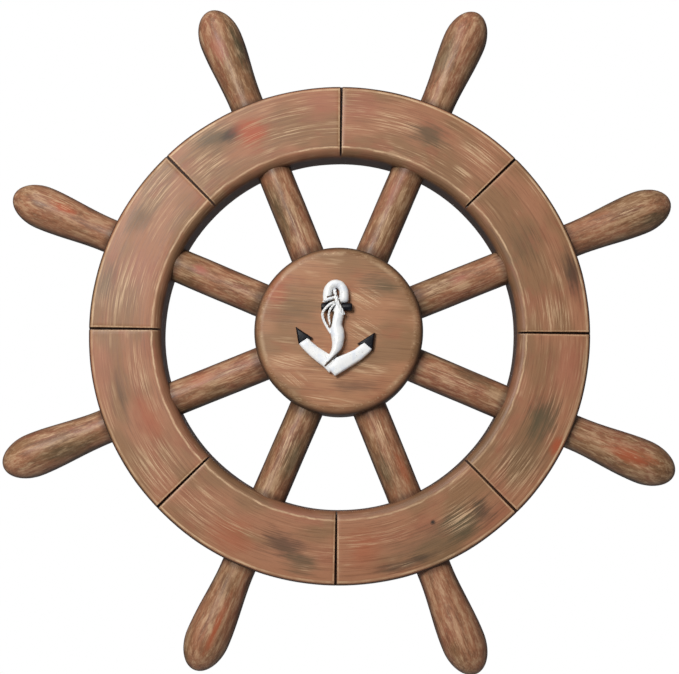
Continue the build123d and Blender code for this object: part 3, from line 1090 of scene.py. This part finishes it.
@dataclass
class Anchor:
    """The painted anchor on the hub's front: arms, shank, flukes, stock, bow and rope."""

    face_y: float
    white: CastPaint
    navy: CastPaint
    sink: float = 0.6 * MM
    stock_start: float = -10.9 * MM
    stock_end: float = 8.5 * MM
    stock_height: float = 2.8 * MM
    stock_z: float = 14.1 * MM
    stock_radius: float = 2.5 * MM

    def loft(self, name: str, stations: Sequence[Station]) -> Bench:
        """Models a limb of square section through its stations.

        Args:
            name: The piece's name.
            stations: The sections from one end to the other.

        Returns:
            The bench, with the limb open in edit mode.
        """
        bench = Bench(name)
        headings = self.headings(stations)
        first = stations[0]
        back = self.face_y + self.sink
        centre = first.middle + Vector((0, back - first.height * MM / 2, 0))
        bpy.ops.mesh.primitive_plane_add(size=MM, location=centre, rotation=(0, math.radians(90), 0))
        bench.take()
        bench.resize((1, first.height, first.width), centre)
        bpy.ops.mesh.select_all(action="SELECT")
        bench.turn(headings[0], centre)
        for before, here, turn in zip(stations, stations[1:], self.turns(headings)):
            bench.extrude(here.middle - before.middle)
            centre = here.middle + Vector((0, back, 0))
            bench.turn(turn, centre)
            ratio = here.width / before.width
            bench.resize((ratio, here.height / before.height, ratio), centre)
        return bench

    @staticmethod
    def headings(stations: Sequence[Station]) -> list[float]:
        """The direction of the limb at each station, in degrees anticlockwise from +X seen from the front."""
        runs = [b.middle - a.middle for a, b in zip(stations, stations[1:])]
        through = [runs[0]] + [a.normalized() + b.normalized() for a, b in zip(runs, runs[1:])] + [runs[-1]]
        return [math.degrees(math.atan2(run.z, run.x)) for run in through]

    @staticmethod
    def turns(headings: Sequence[float]) -> list[float]:
        """The turn from each heading to the next, the short way round."""
        return [(b - a + 180) % 360 - 180 for a, b in zip(headings, headings[1:])]

    def flatten(self, bench: Bench) -> None:
        """Cuts off what lies behind the hub's face, and closes the cut."""
        bpy.context.view_layer.objects.active = bench.piece
        bpy.ops.object.mode_set(mode="EDIT")
        bpy.ops.mesh.select_all(action="SELECT")
        bpy.ops.mesh.bisect(plane_co=(0, self.face_y, 0), plane_no=(0, 1, 0), use_fill=True, clear_outer=True)

    def arm(self, name: str, stations: Sequence[Station]) -> bpy.types.Object:
        """Models one arm: a flat-faced bar with broad bevels, of even thickness.

        Args:
            name: The piece's name.
            stations: From the crown to the fluke.

        Returns:
            The arm.
        """
        bench = self.loft(name, stations)
        bpy.ops.mesh.select_all(action="SELECT")
        bpy.ops.mesh.normals_make_consistent(inside=False)
        bench.pick(Pick.EDGES, self.is_front_arris)
        bpy.ops.mesh.bevel(offset=1.5 * MM, segments=3)
        self.flatten(bench)
        bench.soften(0.35 * MM, 3, 30)
        bench.waver(0.12 * MM, 4 * MM)
        return bench.finish(40)

    def is_front_arris(self, edge: bmesh.types.BMEdge) -> bool:
        """Whether an edge is clear of the hub's face, between faces that meet at more than 45 degrees."""
        if any(v.co.y >= self.face_y - 1.0 * MM for v in edge.verts):
            return False
        return len(edge.link_faces) == 2 and edge.calc_face_angle() > math.radians(45)

    def round_limb(self, name: str, stations: Sequence[Station]) -> bpy.types.Object:
        """Models a limb of rounded section, as the shank and the bow.

        Args:
            name: The piece's name.
            stations: From one end to the other.

        Returns:
            The limb.
        """
        bench = self.loft(name, stations)
        bench.modify("SUBSURF", levels=3, render_levels=3)
        self.flatten(bench)
        bench.soften(0.15 * MM, 2, 50)
        bench.waver(0.15 * MM, 3 * MM)
        return bench.finish(60)

    def fluke(self, name: str, corners: Sequence[Point]) -> bpy.types.Object:
        """Models one fluke: a three-cornered palm with a raised middle.

        Args:
            name: The piece's name.
            corners: Its tip, inner barb and outer barb, in millimetres.

        Returns:
            The fluke.
        """
        bench = Bench(name)
        middle = Vector((sum(c[0] for c in corners) / 3, 0, sum(c[1] for c in corners) / 3)) * MM
        middle.y = self.face_y
        bpy.ops.mesh.primitive_circle_add(
            vertices=3, radius=4 * MM, fill_type="NGON", location=middle, rotation=(math.radians(90), 0, 0)
        )
        piece = bench.take()
        targets = [Vector((x * MM, self.face_y, z * MM)) for x, z in corners]
        spare = list(targets)
        for number in range(3):
            place = bmesh.from_edit_mesh(piece.data).verts[:][number].co.copy()
            goal = min(spare, key=lambda target: (target - place).length)
            spare.remove(goal)
            bench.pick(Pick.VERTS, lambda v: (v.co - place).length < 0.01 * MM)
            bpy.ops.transform.translate(value=goal - place)
        bpy.ops.mesh.select_mode(type="FACE")
        bpy.ops.mesh.select_all(action="SELECT")
        bench.extrude((0, -2.6 * MM, 0))
        bpy.ops.mesh.inset(thickness=0.8 * MM, depth=0)
        bpy.ops.transform.translate(value=(0, -1.3 * MM, 0))
        bench.soften(0.35 * MM, 3, 20)
        bench.waver(0.08 * MM, 3 * MM)
        return bench.finish(35)

    def stock(self) -> bpy.types.Object:
        """Models the cross bar, with swollen ends. Returns it."""
        bench = Bench("cast_stock")
        span = self.stock_end - self.stock_start
        centre = ((self.stock_start + self.stock_end) / 2, self.face_y - self.stock_height, self.stock_z)
        bpy.ops.mesh.primitive_cylinder_add(
            vertices=24, radius=0.86 * self.stock_radius, depth=span, location=centre,
            rotation=(0, math.radians(90), 0),
        )
        bench.take()
        for share in (-0.34, -0.2, 0.2, 0.34):
            bpy.ops.mesh.select_all(action="SELECT")
            bpy.ops.mesh.bisect(plane_co=(centre[0] + share * span, 0, 0), plane_no=(1, 0, 0))
        bench.pick(Pick.VERTS, lambda v: abs(v.co.x - centre[0]) > 0.33 * span)
        bench.resize((1, 1.16, 1.16), centre)
        bench.soften(0.9 * MM, 4, 40)
        bench.waver(0.08 * MM, 3 * MM)
        return bench.finish(50)

    def strand(self, strand: Strand, number: int) -> bpy.types.Object:
        """Lays one rope strand: three lobes twisted together and bent along a curve.

        Args:
            strand: Its thickness and its route.
            number: Its number among the strands.

        Returns:
            The strand's piece.
        """
        diameter = strand.diameter * MM
        route = self.route(strand.route)
        length = route.data.splines[0].calc_length()
        bench = Bench(f"cast_rope_{number}")
        bpy.ops.mesh.primitive_cylinder_add(
            vertices=18, radius=diameter / 2, depth=length, location=(length / 2, 0, 0),
            rotation=(0, math.radians(90), 0),
        )
        piece = bench.take()
        bench.pick(Pick.EDGES, lambda e: abs(e.verts[0].co.x - e.verts[1].co.x) > 0.5 * length)
        bpy.ops.mesh.subdivide(number_cuts=int(length / (0.3 * MM)))
        for lobe in range(3):
            valley = math.radians(120 * lobe + 10)
            side = Vector((0, math.cos(valley), math.sin(valley)))
            bench.pick(Pick.VERTS, lambda v: v.co.yz.normalized().dot(side.yz) > 0.93)
            bpy.ops.transform.translate(value=side * (-0.16 * diameter))
        bench.modify("SIMPLE_DEFORM", deform_method="TWIST", deform_axis="X", angle=length / diameter * 1.6)
        bench.modify("CURVE", object=route, deform_axis="POS_X")
        bpy.data.objects.remove(route)
        bench.soften(0.2 * MM, 2, 60)
        return bench.finish(50)

    def route(self, points: Sequence[Sequence[float]]) -> bpy.types.Object:
        """Makes the smooth curve that a strand follows.

        Args:
            points: The strand's route.

        Returns:
            The curve.
        """
        Bench.clear()
        bpy.ops.curve.primitive_nurbs_path_add()
        route = bpy.context.object
        route.data.dimensions = "3D"
        spline = route.data.splines[0]
        spline.points.add(max(0, len(points) - len(spline.points)))
        while len(spline.points) > len(points):
            route.data.splines.remove(spline)
            spline = route.data.splines.new("NURBS")
            spline.points.add(len(points) - 1)
        for point, (x, z, height) in zip(spline.points, points):
            point.co = (x * MM, self.face_y - height * MM, z * MM, 1)
        spline.order_u = 3
        spline.use_endpoint_u = True
        route.location = (0, 0, 0)
        return route

    def build(self) -> None:
        """Models, paints and sets down every piece of the anchor."""
        white, navy = self.white.dress("white_paint"), self.navy.dress("navy_paint")
        pieces = [
            (self.arm("cast_left_arm", LEFT_ARM), white, "white_resin", "anchor_body"),
            (self.arm("cast_right_arm", RIGHT_ARM), white, "white_resin", "anchor_body"),
            (self.round_limb("cast_shank", SHANK), white, "white_resin", "anchor_body"),
            (self.fluke("cast_left_fluke", LEFT_FLUKE), navy, "navy_resin", "anchor_flukes"),
            (self.fluke("cast_right_fluke", RIGHT_FLUKE), navy, "navy_resin", "anchor_flukes"),
            (self.stock(), navy, "navy_resin", "anchor_stock"),
            (self.round_limb("cast_bow", BOW), white, "white_resin", "anchor_shackle"),
        ]
        for number, strand in enumerate(STRANDS, 1):
            pieces.append((self.strand(strand, number), white, "white_resin", "anchor_rope"))
        for piece, material, slot, node in pieces:
            piece.data.materials.clear()
            piece.data.materials.append(material)
            set_down(piece, WHEEL_BODY, slot, node)


@dataclass
class Carried:
    """CAD nodes that keep their shape and get a finish."""

    finishes: dict[str, bpy.types.Material]

    def build(self) -> None:
        """Dresses each node."""
        for node, material in self.finishes.items():
            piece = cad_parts[node]
            for slot in piece.material_slots:
                slot.material = material
            log.info("%s dressed", node)


# ---------------------------------------------------------------- studio


@dataclass(frozen=True)
class Lamp:
    """One soft square light: its place from the wheel's middle and its side in metres, its power in watts.

    A lamp that doesn't shine leaves no gleam on glossy paint.
    """

    name: str
    place: tuple[float, float, float]
    side: float
    power: float
    colour: Colour
    shines: bool = True


LAMPS = (
    Lamp("key_light", (-0.6, -1.5, 0.5), 0.6, 19.5, (1.0, 0.99, 0.97)),
    Lamp("top_light", (-0.5, -0.8, 1.2), 0.5, 5.5, (0.95, 0.97, 1.0)),
    Lamp("back_light", (0.2, 2.04, 0.5), 1.2, 22, (1.0, 1.0, 1.0), shines=False),
)


@dataclass
class Studio:
    """The pale floor, the soft lights and the camera."""

    wheel_y: float
    floor_z: float = -1.6
    distance: float = 800 * MM
    camera_x: float = 14.9 * MM
    camera_z: float = -87.1 * MM
    pan: float = -1.04
    tilt: float = 6.04
    roll: float = 0.68
    lens: float = 67.0
    sensor: float = 36.0
    floor_side: float = 6.0
    floor_colour: Colour = (0.82, 0.82, 0.81)
    floor_glow: Colour = (0.62, 0.62, 0.61)
    surround_seen: Colour = (1.0, 1.0, 1.0)
    surround_lit: Colour = (0.15, 0.154, 0.165)

    def floor(self) -> None:
        """Lays the floor, which glows where it is looked at so that the few soft lights leave it pale."""
        Bench.clear()
        bpy.ops.mesh.primitive_plane_add(size=self.floor_side, location=(0, 0, self.floor_z))
        floor = bpy.context.object
        floor.name = "studio_floor"
        board = Board("floor_paint")
        board.feed(board.shader.inputs["Base Color"], self.floor_colour)
        board.shader.inputs["Roughness"].default_value = 0.9
        seen = Value(board, board.node("ShaderNodeLightPath", {}, {}).outputs["Is Camera Ray"])
        glow = board.mix(seen, (0.0, 0.0, 0.0), self.floor_glow)
        board.feed(board.shader.inputs["Emission Color"], glow)
        board.shader.inputs["Emission Strength"].default_value = 1.0
        floor.data.materials.append(board.material)

    def light(self, lamp: Lamp) -> None:
        """Hangs one soft light that looks at the wheel.

        Args:
            lamp: The light.
        """
        bulb = bpy.data.lights.new(lamp.name, "AREA")
        bulb.shape = "SQUARE"
        bulb.size = lamp.side
        bulb.energy = lamp.power
        bulb.color = lamp.colour
        holder = bpy.data.objects.new(lamp.name, bulb)
        bpy.context.collection.objects.link(holder)
        reach = Vector(lamp.place)
        holder.location = Vector((0, self.wheel_y, 0)) + reach
        holder.rotation_euler = (-reach).to_track_quat("-Z", "Y").to_euler()
        holder.visible_glossy = lamp.shines

    def world(self) -> None:
        """A white surround that lights the wheel with much less than it shows."""
        world = bpy.data.worlds.new("surround")
        bpy.context.scene.world = world
        world.use_nodes = True
        tree = world.node_tree
        ray = tree.nodes.new("ShaderNodeLightPath")
        blend = tree.nodes.new("ShaderNodeMix")
        blend.data_type = "RGBA"
        blend.inputs[6].default_value = (*self.surround_lit, 1)
        blend.inputs[7].default_value = (*self.surround_seen, 1)
        tree.links.new(ray.outputs["Is Camera Ray"], blend.inputs[0])
        tree.links.new(blend.outputs[2], tree.nodes["Background"].inputs["Color"])

    def camera(self) -> None:
        """Stands the camera a little below the axis, looking up."""
        eye = bpy.data.cameras.new("studio_camera")
        eye.lens = self.lens
        eye.sensor_width = self.sensor
        holder = bpy.data.objects.new("studio_camera", eye)
        bpy.context.collection.objects.link(holder)
        turn = Matrix.Rotation(math.radians(-self.pan), 4, "Z")
        turn @= Matrix.Rotation(math.radians(90 + self.tilt), 4, "X")
        turn @= Matrix.Rotation(math.radians(self.roll), 4, "Z")
        place = (self.camera_x, self.wheel_y - self.distance, self.camera_z)
        holder.matrix_world = Matrix.Translation(place) @ turn
        bpy.context.scene.camera = holder

    def build(self) -> None:
        """Sets up the whole studio."""
        bpy.context.scene.view_settings.view_transform = "Standard"
        self.floor()
        for lamp in LAMPS:
            self.light(lamp)
        self.world()
        self.camera()


# ---------------------------------------------------------------- assembly


RIM_PATCHES = {
    1: [
        Patch(Stain.GREEN, 8, 128, 16, 13, 0.35),
        Patch(Stain.BLACK, -20, 151, 16, 6, 0.7),
        Patch(Stain.PALE, -42, 134, 14, 13),
    ],
    2: [
        Patch(Stain.PINK, 41, 146, 13, 14, 0.45),
        Patch(Stain.GREEN, -3, 138, 15, 9, 0.7),
        Patch(Stain.PALE, -36, 144, 13, 10),
        Patch(Stain.PALE, 20, 138, 16, 8),
        Patch(Stain.PALE, -35, 127, 7, 6),
    ],
    3: [
        Patch(Stain.PINK, -41, 144, 14, 14, 0.35),
        Patch(Stain.GREEN, 25, 147, 14, 8, 0.6),
        Patch(Stain.BLACK, 15, 143, 8, 5, 0.8),
        Patch(Stain.RED, 4, 138, 12, 12, 0.9),
        Patch(Stain.PALE, 38, 134, 13, 13),
        Patch(Stain.PALE, -20, 146, 16, 8),
        Patch(Stain.PALE, -18, 131, 16, 5),
    ],
    4: [
        Patch(Stain.PALE, -36, 146, 15, 13),
        Patch(Stain.GREEN, -16, 145, 12, 10, 0.5),
        Patch(Stain.GREEN, 28, 149, 16, 5, 0.5),
        Patch(Stain.PINK, 12, 132, 14, 12, 0.25),
        Patch(Stain.PALE, 26, 137, 20, 14),
    ],
    5: [
        Patch(Stain.PINK, -28, 148, 18, 10, 0.3),
        Patch(Stain.BLACK, -14, 142, 18, 2.5, 0.4),
        Patch(Stain.RED, 6, 130, 16, 8, 0.4),
        Patch(Stain.PALE, 34, 140, 18, 15),
        Patch(Stain.PALE, -24, 128, 18, 6),
    ],
    6: [
        Patch(Stain.RED, -10, 142, 15, 11, 0.4),
        Patch(Stain.BLACK, 21, 137, 17, 9, 0.6),
        Patch(Stain.GREEN, 32, 146, 12, 8, 0.6),
        Patch(Stain.PALE, -36, 138, 14, 12),
    ],
    # The wide olive patches on felloes 7 and 8 make the lower right of the rim darker.
    7: [
        Patch(Stain.RED, -36, 137, 14, 13, 0.4),
        Patch(Stain.GREEN, 6, 144, 44, 14, 0.4),
        Patch(Stain.BLACK, -12, 150, 18, 3.5, 0.6),
        Patch(Stain.BLACK, 38, 143, 8, 9, 0.6),
        Patch(Stain.GREEN, 24, 141, 15, 11, 0.65),
        Patch(Stain.PALE, 27, 137, 14, 9),
        Patch(Stain.BLACK, 10, 132, 1.8, 1.8, 1.0),
    ],
    8: [
        Patch(Stain.PINK, 32, 143, 16, 15, 0.35),
        Patch(Stain.GREEN, -24, 138, 26, 18, 0.3),
        Patch(Stain.GREEN, 0, 138, 15, 10, 0.75),
        Patch(Stain.RED, -11, 153, 6, 4, 0.8),
        Patch(Stain.PALE, -36, 138, 15, 12),
    ],
}

SPOKE_PATCHES = {
    1: [
        Patch(Stain.PALE, 72, 1, 14, 5),
        Patch(Stain.GREEN, 212, -8, 16, 5, 0.7),
        Patch(Stain.PALE, 200, 3, 18, 5),
        Patch(Stain.PINK, 84, 3, 8, 4, 0.7),
    ],
    2: [
        Patch(Stain.PALE, 70, -1, 16, 5),
        Patch(Stain.PINK, 96, 4, 16, 5, 0.4),
        Patch(Stain.GREEN, 190, 8, 22, 5, 0.5),
    ],
    3: [
        Patch(Stain.PALE, 72, 0, 18, 6),
        Patch(Stain.GREEN, 196, -9, 18, 5, 0.85),
        Patch(Stain.PINK, 198, 4, 14, 5, 0.7),
        Patch(Stain.GREEN, 88, 7, 20, 4, 0.6),
    ],
    4: [
        Patch(Stain.RED, 192, -4, 9, 3.5, 0.9),
        Patch(Stain.PALE, 200, -6, 16, 5),
        Patch(Stain.PINK, 96, -2, 6, 4, 0.9),
        Patch(Stain.PALE, 72, -2, 8, 6),
    ],
    5: [
        Patch(Stain.PALE, 74, 1, 16, 5),
        Patch(Stain.RED, 92, -3, 12, 5, 0.5),
        Patch(Stain.GREEN, 188, 6, 20, 5, 0.5),
    ],
    6: [
        Patch(Stain.PALE, 80, -1, 20, 5),
        Patch(Stain.RED, 196, 3, 22, 2.5, 0.8),
        Patch(Stain.GREEN, 84, 5, 18, 5, 0.6),
    ],
    7: [
        Patch(Stain.PALE, 72, 2, 16, 5),
        Patch(Stain.GREEN, 90, -6, 16, 5, 0.6),
        Patch(Stain.RED, 96, 5, 12, 3, 0.5),
    ],
    8: [
        Patch(Stain.PALE, 76, 0, 18, 5),
        Patch(Stain.RED, 196, 0, 19, 7, 0.75),
        Patch(Stain.GREEN, 88, 6, 16, 5, 0.5),
    ],
}

HUB_PATCHES = (
    Patch(Stain.RED, -40, 20, 8, 14, 0.55),
    Patch(Stain.GREEN, 24, 30, 15, 8, 0.6),
    Patch(Stain.GREEN, -30, 10, 14, 12, 0.3),
    Patch(Stain.BLACK, 14, -34, 16, 5, 0.4),
    Patch(Stain.PALE, 14, 21, 11, 7, 0.9, -26),
    Patch(Stain.PALE, 16, 2, 10, 8, 0.9, -26),
    Patch(Stain.PALE, 20, -22, 12, 5, 0.8, -8),
    Patch(Stain.PALE, -30, -22, 12, 5, 0.8, -12),
    Patch(Stain.PALE, -26, -33, 10, 5, 0.7, -38),
    Patch(Stain.PALE, -8, -45, 22, 3.5, 0.9, -6),
)

LEFT_ARM = (
    Station(-2.6, -24.8, 7.0, 5.4),
    Station(-6.6, -19.6, 8.6, 5.4),
    Station(-10.6, -17.0, 8.0, 5.2),
    Station(-15.2, -13.6, 7.4, 5.0),
    Station(-19.4, -9.8, 7.0, 4.8),
    Station(-21.8, -7.0, 6.8, 4.8),
)
RIGHT_ARM = (
    Station(-4, -26.6, 6.6, 6.2),
    Station(1.2, -21.6, 9.4, 6.2),
    Station(7.2, -18.4, 8.2, 5.6),
    Station(12.4, -15.4, 7.4, 5.2),
    Station(17, -11.4, 7.0, 5.0),
    Station(18.6, -9.6, 6.8, 5.0),
)
SHANK = (
    Station(-0.6, 20.4, 4.6, 5.2),
    Station(-0.5, 15.4, 5.6, 6.2),
    Station(-0.2, 11.0, 7.8, 7.0),
    Station(-0.2, 7.4, 7.4, 7.2),
    Station(-1.5, 3.6, 7.4, 7.4),
    Station(-1.1, 0.2, 9.6, 7.8),
    Station(-0.3, -3.0, 9.6, 8.0),
    Station(-0.1, -7.0, 8.4, 8.0),
    Station(-0.7, -11.2, 6.6, 8.0),
    Station(-2.6, -15.2, 5.0, 7.8),
    Station(-5.4, -18.8, 3.6, 7.4),
    Station(-7.8, -21.4, 2.6, 6.8),
)
BOW = (
    Station(-6.9, 16.2, 6.2, 6.8),
    Station(-7.1, 20.6, 6.6, 7.0),
    Station(-6.8, 24.6, 6.4, 7.0),
    Station(-5, 27.8, 6.2, 7.0),
    Station(-1.8, 29.0, 6.2, 7.0),
    Station(1.3, 27.8, 6.2, 7.0),
    Station(3.2, 24.6, 6.4, 7.0),
    Station(3.4, 20.6, 6.6, 7.0),
    Station(3.2, 16.2, 6.2, 6.8),
)
LEFT_FLUKE = ((-26.6, 1.6), (-15.8, -5.4), (-24.6, -9.4))
RIGHT_FLUKE = ((22.8, -1.4), (11.8, -8.6), (21.4, -13))
STRANDS = (
    Strand(2.1, (
        (-2.6, 25.4, 3), (-2.4, 22.8, 5.6), (-1.8, 19.6, 6.4), (-0.4, 16, 7), (1.7, 12.4, 6.8),
        (3.2, 9.2, 5),
    )),
    Strand(1.9, (
        (-9.2, 17.4, 3.4), (-8.6, 17.9, 6), (-5.8, 18.6, 7), (-2.8, 19.6, 6), (-1, 20.4, 4),
    )),
    Strand(1.7, (
        (-2.8, 17, 5.4), (-5.2, 15.6, 6.6), (-8, 13, 6), (-10.2, 10.4, 4.4), (-9.6, 6.4, 3.4),
        (-7.6, 2.4, 3.6), (-4.6, -2.4, 4.6),
    )),
    Strand(1.5, (
        (-2.4, 15.8, 6.2), (-4.8, 13.2, 6.2), (-6.2, 9.6, 4.8), (-5.8, 5.2, 4.2), (-4.2, 0.8, 4.8),
    )),
)
# Lines of painted shade where the rope, shank, bow and arms meet.
SHADE_LINES = (
    ShadeLine((2.2 * MM, -12.8 * MM), (-7.6 * MM, -22.6 * MM), 0.9 * MM),
    ShadeLine((-3.2 * MM, 10.5 * MM), (-4.8 * MM, 1.5 * MM), 0.8 * MM),
    ShadeLine((-6.8 * MM, 19.9 * MM), (-2.8 * MM, 21.2 * MM), 0.8 * MM),
    ShadeLine((-6.6 * MM, 17.0 * MM), (-3.0 * MM, 18.0 * MM), 0.7 * MM),
    ShadeLine((0.2 * MM, 18.4 * MM), (2.4 * MM, 13.6 * MM), 0.8 * MM),
)


def main() -> None:
    """Builds every piece in order."""
    logging.basicConfig(level=logging.INFO, format="%(name)s %(message)s")
    low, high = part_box("felloe_1")
    middle_y = (low.y + high.y) / 2
    hub_low, hub_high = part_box("hub")
    Rim(middle_y, patches=RIM_PATCHES).build()
    Spokes(middle_y, patches=SPOKE_PATCHES).build()
    Hub(hub_low.y, hub_high.y, patches=HUB_PATCHES).build()
    Anchor(
        hub_low.y,
        # The white's third colour is for dirt specks and for the painted shade along the shade lines.
        white=CastPaint(srgb(254, 254, 252), srgb(232, 237, 246), srgb(84, 62, 40), shade_lines=SHADE_LINES),
        navy=CastPaint(srgb(5, 7, 16), srgb(9, 13, 28), srgb(96, 104, 124), 0.4, 0.3),
    ).build()
    brass = Metal(srgb(205, 170, 100), srgb(140, 105, 55), 0.32).dress("turned_brass")
    steel = Metal(srgb(190, 190, 192), srgb(130, 128, 125), 0.3).dress("turned_steel")
    black = Metal(srgb(38, 38, 40), srgb(60, 60, 62), 0.42, 0.0).dress("satin_black")
    bare = Metal(srgb(206, 170, 124), srgb(176, 136, 92), 0.6, 0.0).dress("bare_beech")
    Carried({
        "hub_flange": brass, "flange_screws": brass,
        "retaining_screw": steel, "spindle": steel, "thrust_washer": steel,
        "wall_plate": black, "felloe_dowels": bare,
    }).build()
    Studio(middle_y).build()


if __name__ == "__main__":
    main()
